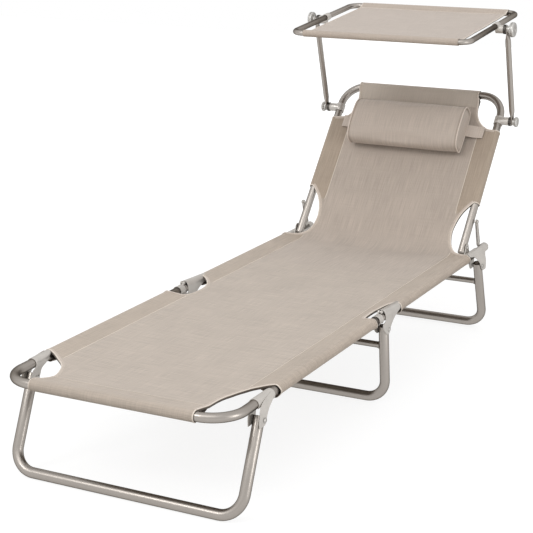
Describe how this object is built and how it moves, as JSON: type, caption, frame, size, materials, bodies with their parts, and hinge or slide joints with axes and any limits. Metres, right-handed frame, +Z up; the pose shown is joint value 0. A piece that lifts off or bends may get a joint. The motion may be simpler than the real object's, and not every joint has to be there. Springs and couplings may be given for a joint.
{
  "type": "folding sun lounger with canopy",
  "caption": "Low folding sun lounger: fabric sling on a bent tube frame with U-shaped legs, a raised back with a bolster pillow, and a tilting flat canopy on side arms.",
  "frame": {"origin": "on the floor, at the middle of the lounger's overall length and width", "axes": "+Y towards the head end, +X to the right as seen from the foot end, +Z up"},
  "size_m": [0.6436, 1.8396, 0.8978],
  "materials": {
    "frame_tube": "satin, warm silver",
    "bracket": "satin, pressed sheet",
    "rivet": "satin",
    "clamp": "moulded, light grey",
    "knob": "moulded, silver grey",
    "sling": "woven, taupe",
    "pillow": "woven and padded, taupe",
    "canopy": "woven, taupe"
  },
  "bodies": {
    "seat": {"seat_rail_left": "frame_tube", "seat_rail_right": "frame_tube", "rail_end_plug_left": "bracket", "rail_end_plug_right": "bracket", "mid_leg_bracket_left": "bracket", "mid_leg_bracket_right": "bracket", "rear_bracket_left": "bracket", "rear_bracket_right": "bracket", "mid_hinge_pin_left": "rivet", "mid_hinge_pin_right": "rivet", "mid_leg_rivet_left": "rivet", "mid_leg_rivet_right": "rivet", "rear_leg_rivet_left": "rivet", "rear_leg_rivet_right": "rivet", "seat_sling": "sling"},
    "foot_section": {"foot_frame": "frame_tube", "front_leg_bracket_left": "bracket", "front_leg_bracket_right": "bracket", "front_leg_rivet_left": "rivet", "front_leg_rivet_right": "rivet", "foot_hinge_ear_left": "bracket", "foot_hinge_ear_right": "bracket", "foot_sling": "sling"},
    "front_leg": {"front_leg": "frame_tube"},
    "mid_leg": {"mid_leg": "frame_tube", "mid_leg_crossbar": "frame_tube"},
    "rear_leg": {"rear_leg": "frame_tube", "rear_leg_crossbar": "frame_tube"},
    "back": {"back_frame": "frame_tube", "back_hinge_pin_left": "rivet", "back_hinge_pin_right": "rivet", "back_sling": "sling", "pillow_strap": "sling", "pillow": "pillow", "strut_pin_left": "rivet", "strut_pin_right": "rivet", "arm_clamp_left": "clamp", "arm_clamp_right": "clamp", "arm_bolt_left": "rivet", "arm_bolt_right": "rivet"},
    "back_strut_left": {"back_strut_left": "bracket"},
    "back_strut_right": {"back_strut_right": "bracket"},
    "canopy_arms": {"canopy_arm_left": "frame_tube", "canopy_arm_right": "frame_tube"},
    "canopy": {"canopy_front_tube": "frame_tube", "canopy_rear_tube": "frame_tube", "canopy_cover": "canopy", "canopy_clamp_left": "clamp", "canopy_clamp_right": "clamp", "canopy_bolt_left": "rivet", "canopy_bolt_right": "rivet"},
    "arm_knob_left": {"arm_knob_left": "knob"},
    "arm_knob_right": {"arm_knob_right": "knob"},
    "canopy_knob_left": {"canopy_knob_left": "knob"},
    "canopy_knob_right": {"canopy_knob_right": "knob"}
  },
  "joints": [
    {"name": "foot_fold", "type": "hinge", "parent": "seat", "child": "foot_section", "pos_m": [0, -0.12625, 0.255], "axis": [-1, 0, 0], "range_deg": [0, 160]},
    {"name": "front_leg_fold", "type": "hinge", "parent": "foot_section", "child": "front_leg", "pos_m": [0, -0.78525, 0.205], "axis": [1, 0, 0], "range_deg": [0, 113]},
    {"name": "mid_leg_fold", "type": "hinge", "parent": "seat", "child": "mid_leg", "pos_m": [0, -0.10125, 0.205], "axis": [1, 0, 0], "range_deg": [0, 83]},
    {"name": "rear_leg_fold", "type": "hinge", "parent": "seat", "child": "rear_leg", "pos_m": [0, 0.56575, 0.205], "axis": [-1, 0, 0], "range_deg": [0, 108]},
    {"name": "back_recline", "type": "hinge", "parent": "seat", "child": "back", "pos_m": [0, 0.53275, 0.261], "axis": [-1, 0, 0], "range_deg": [-80, 49.5]},
    {"name": "left_strut_swing", "type": "hinge", "parent": "back", "child": "back_strut_left", "pos_m": [0, 0.58861, 0.32639], "axis": [1, 0, 0], "range_deg": [0, 120]},
    {"name": "right_strut_swing", "type": "hinge", "parent": "back", "child": "back_strut_right", "pos_m": [0, 0.58861, 0.32639], "axis": [1, 0, 0], "range_deg": [0, 120]},
    {"name": "arm_tilt", "type": "hinge", "parent": "back", "child": "canopy_arms", "pos_m": [0, 0.80454, 0.58384], "axis": [1, 0, 0], "range_deg": [-45, 45]},
    {"name": "canopy_tilt", "type": "hinge", "parent": "canopy_arms", "child": "canopy", "pos_m": [0, 0.72072, 0.86146], "axis": [1, 0, 0], "range_deg": [-45, 45]},
    {"name": "left_arm_knob_turn", "type": "hinge", "parent": "back", "child": "arm_knob_left", "pos_m": [0, 0.80454, 0.58384], "axis": [-1, 0, 0], "continuous": true},
    {"name": "right_arm_knob_turn", "type": "hinge", "parent": "back", "child": "arm_knob_right", "pos_m": [0, 0.80454, 0.58384], "axis": [1, 0, 0], "continuous": true},
    {"name": "left_canopy_knob_turn", "type": "hinge", "parent": "canopy", "child": "canopy_knob_left", "pos_m": [0, 0.72072, 0.86146], "axis": [-1, 0, 0], "continuous": true},
    {"name": "right_canopy_knob_turn", "type": "hinge", "parent": "canopy", "child": "canopy_knob_right", "pos_m": [0, 0.72072, 0.86146], "axis": [1, 0, 0], "continuous": true}
  ]
}
